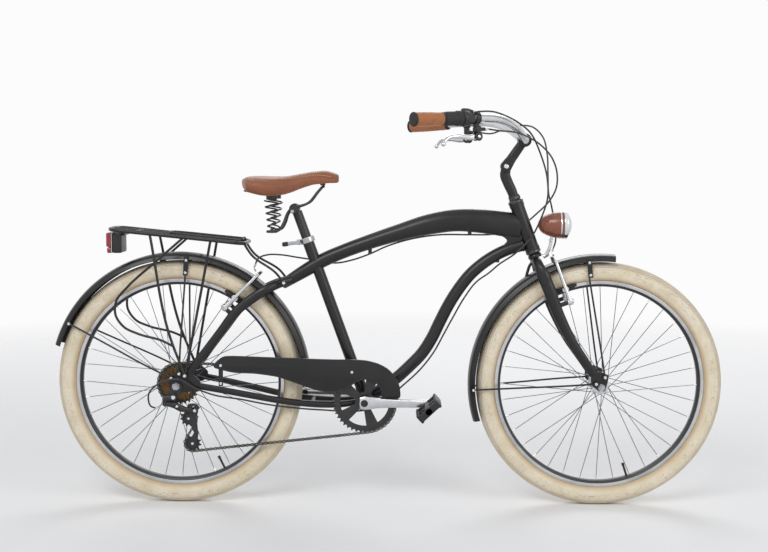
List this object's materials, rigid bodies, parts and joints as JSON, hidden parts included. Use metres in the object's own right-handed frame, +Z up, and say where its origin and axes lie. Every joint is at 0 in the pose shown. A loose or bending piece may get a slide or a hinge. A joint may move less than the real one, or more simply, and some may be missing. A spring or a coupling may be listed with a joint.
{
  "type": "city bicycle",
  "caption": "Step-over cruiser city bicycle with arched top tube, balloon tyres, fenders, rear rack, derailleur gear, rim brakes, sprung saddle and lights.",
  "frame": {"origin": "middle of the bike's box, on the floor under both tyres", "axes": "+X forward from the rear wheel to the front wheel, +Y to the rider's left, +Z up; the drive side faces -Y"},
  "size_m": [1.812, 0.65, 1.0668],
  "materials": {
    "bronze": "bronze-brown plated",
    "cream": "cream rubber",
    "glass": "clear",
    "grey": "bright zinc",
    "grip": "brown stitched leather look",
    "leather": "brown, satin",
    "paint": "satin black paint",
    "plastic": "black",
    "red": "clear red",
    "silver": "polished",
    "steel_black": "satin black coated steel"
  },
  "bodies": {
    "root": {"frame": "paint", "headset_upper_cup": "steel_black", "headset_lower_cup": "steel_black", "bottom_bracket": "steel_black", "seat_clamp": "grey", "rear_axle": "grey", "rear_fender": "paint", "rear_rack": "paint", "tail_light_housing": "plastic", "tail_light_lens": "red", "chainguard": "paint", "chain": "steel_black", "rear_brake_cable": "plastic", "derailleur_cable": "plastic", "derailleur_bracket": "steel_black"},
    "front_end": {"fork": "paint", "front_fender": "paint", "front_axle": "grey", "headlight_body": "leather", "headlight_lens": "glass", "front_brake_cable": "plastic", "stem_quill": "steel_black"},
    "bars": {"stem_arm": "steel_black", "handlebar": "silver", "right_grip": "grip", "left_grip": "grip", "shifter_body": "plastic", "brake_bracket_right": "plastic", "brake_bracket_left": "plastic"},
    "front_wheel": {"front_tyre": "cream", "front_rim": "silver", "front_hub": "grey"},
    "rear_wheel": {"rear_tyre": "cream", "rear_rim": "silver", "rear_hub": "grey"},
    "freewheel_body": {"freewheel": "bronze"},
    "crankset": {"chainring": "steel_black", "right_crank": "silver", "left_crank": "silver"},
    "right_pedal_body": {"right_pedal": "plastic"},
    "left_pedal_body": {"left_pedal": "plastic"},
    "twist_grip": {"shifter_grip": "plastic"},
    "right_lever": {"brake_lever_right": "silver"},
    "left_lever": {"brake_lever_left": "silver"},
    "front_arm_right": {"front_brake_arm_right": "silver"},
    "front_arm_left": {"front_brake_arm_left": "silver"},
    "rear_arm_right": {"rear_brake_arm_right": "silver"},
    "rear_arm_left": {"rear_brake_arm_left": "silver"},
    "link": {"derailleur_link": "steel_black"},
    "knuckle": {"derailleur_knuckle": "steel_black"},
    "cage": {"derailleur_cage": "steel_black"},
    "guide_pulley": {"upper_pulley": "plastic"},
    "tension_pulley": {"lower_pulley": "plastic"},
    "saddle": {"seatpost": "steel_black", "saddle_cover": "leather", "saddle_rails": "steel_black", "saddle_spring_right": "steel_black", "saddle_spring_left": "steel_black"},
    "seat_lever": {"seat_clamp_lever": "grey"},
    "clip": {"rack_clip": "paint"}
  },
  "joints": [
    {"name": "steering", "type": "hinge", "parent": "root", "child": "front_end", "pos_m": [0.38874, 0, 0.698], "axis": [-0.3469, 0, 0.9379], "range_deg": [-40, 40], "deforming": ["rear_brake_cable", "derailleur_cable"]},
    {"name": "stem_tilt", "type": "hinge", "parent": "front_end", "child": "bars", "pos_m": [0.31374, 0, 0.922], "axis": [0, 1, 0], "range_deg": [-10, 15], "deforming": ["front_brake_cable"]},
    {"name": "front_wheel_spin", "type": "hinge", "parent": "front_end", "child": "front_wheel", "pos_m": [0.57274, 0, 0.333], "axis": [0, 1, 0], "continuous": true},
    {"name": "rear_wheel_spin", "type": "hinge", "parent": "root", "child": "rear_wheel", "pos_m": [-0.56626, 0, 0.333], "axis": [0, 1, 0], "continuous": true},
    {"name": "crank_spin", "type": "hinge", "parent": "root", "child": "crankset", "pos_m": [-0.06226, 0, 0.29], "axis": [0, 1, 0], "continuous": true, "deforming": ["chain"]},
    {"name": "freewheel_spin", "type": "hinge", "parent": "root", "child": "freewheel_body", "pos_m": [-0.56626, 0, 0.333], "axis": [0, 1, 0], "continuous": true},
    {"name": "right_pedal_spin", "type": "hinge", "parent": "crankset", "child": "right_pedal_body", "pos_m": [0.10774, 0, 0.29], "axis": [0, 1, 0], "continuous": true},
    {"name": "left_pedal_spin", "type": "hinge", "parent": "crankset", "child": "left_pedal_body", "pos_m": [-0.23226, 0, 0.29], "axis": [0, 1, 0], "continuous": true},
    {"name": "twist_shifter", "type": "hinge", "parent": "bars", "child": "twist_grip", "pos_m": [0.13557, -0.25951, 1.03951], "axis": [0.8351, 0.5488, 0.0382], "range_deg": [0, 150]},
    {"name": "derailleur_swing", "type": "hinge", "parent": "root", "child": "link", "pos_m": [-0.59626, -0.078, 0.287], "axis": [0, 0, 1], "range_deg": [-23.3, 0]},
    {"name": "knuckle_swing", "type": "hinge", "parent": "link", "child": "knuckle", "pos_m": [-0.53226, -0.056, 0.268], "axis": [0, 0, 1], "range_deg": [0, 23.3]},
    {"name": "cage_tension", "type": "hinge", "parent": "knuckle", "child": "cage", "pos_m": [-0.52226, -0.034, 0.262], "axis": [0, 1, 0], "range_deg": [-8, 20], "stiffness_Nm_per_rad": 0.8},
    {"name": "upper_pulley_spin", "type": "hinge", "parent": "cage", "child": "guide_pulley", "pos_m": [-0.54026, -0.034, 0.238], "axis": [0, 1, 0], "continuous": true},
    {"name": "lower_pulley_spin", "type": "hinge", "parent": "cage", "child": "tension_pulley", "pos_m": [-0.53026, -0.034, 0.169], "axis": [0, 1, 0], "continuous": true},
    {"name": "right_lever_pull", "type": "hinge", "parent": "bars", "child": "right_lever", "pos_m": [0.22242, -0.20244, 0.99748], "axis": [-0.5492, 0.8357, 0], "range_deg": [0, 14], "stiffness_Nm_per_rad": 0.6, "springref_deg": -11.46},
    {"name": "left_lever_pull", "type": "hinge", "parent": "bars", "child": "left_lever", "pos_m": [0.22242, 0.20244, 0.99748], "axis": [0.5492, 0.8357, 0], "range_deg": [0, 14], "stiffness_Nm_per_rad": 0.6, "springref_deg": -11.46},
    {"name": "rear_right_arm", "type": "hinge", "parent": "root", "child": "rear_arm_right", "pos_m": [-0.43826, -0.047, 0.542], "axis": [-0.7071, 0, 0.7071], "range_deg": [0, 1.6]},
    {"name": "rear_left_arm", "type": "hinge", "parent": "root", "child": "rear_arm_left", "pos_m": [-0.43826, 0.047, 0.542], "axis": [0.7071, 0, -0.7071], "range_deg": [0, 1.6]},
    {"name": "front_right_arm", "type": "hinge", "parent": "front_end", "child": "front_arm_right", "pos_m": [0.48574, -0.047, 0.563], "axis": [-0.9397, 0, -0.3419], "range_deg": [0, 1.6]},
    {"name": "front_left_arm", "type": "hinge", "parent": "front_end", "child": "front_arm_left", "pos_m": [0.48574, 0.047, 0.563], "axis": [0.9397, 0, 0.3419], "range_deg": [0, 1.6]},
    {"name": "seatpost_height", "type": "slide", "parent": "root", "child": "saddle", "axis": [-0.342, 0, 0.9397], "range_m": [-0.06, 0.09]},
    {"name": "seat_lever_release", "type": "hinge", "parent": "root", "child": "seat_lever", "pos_m": [-0.24124, -0.018, 0.71532], "axis": [0, 0, 1], "range_deg": [0, 110]},
    {"name": "rack_clip_lift", "type": "hinge", "parent": "root", "child": "clip", "pos_m": [-0.39426, 0, 0.7233], "axis": [0, 1, 0], "range_deg": [0, 70], "stiffness_Nm_per_rad": 0.6, "springref_deg": -17.19}
  ],
  "couplings": [
    {"joint": "freewheel_spin", "follows": "crank_spin", "ratio": 1.5},
    {"joint": "upper_pulley_spin", "follows": "crank_spin", "ratio": -3.8182},
    {"joint": "lower_pulley_spin", "follows": "crank_spin", "ratio": 3.8182},
    {"joint": "derailleur_swing", "follows": "twist_shifter", "ratio": -0.15532},
    {"joint": "knuckle_swing", "follows": "twist_shifter", "ratio": 0.15532},
    {"joint": "rear_right_arm", "follows": "right_lever_pull", "ratio": 0.11427},
    {"joint": "rear_left_arm", "follows": "right_lever_pull", "ratio": 0.11427},
    {"joint": "front_right_arm", "follows": "left_lever_pull", "ratio": 0.11427},
    {"joint": "front_left_arm", "follows": "left_lever_pull", "ratio": 0.11427}
  ]
}
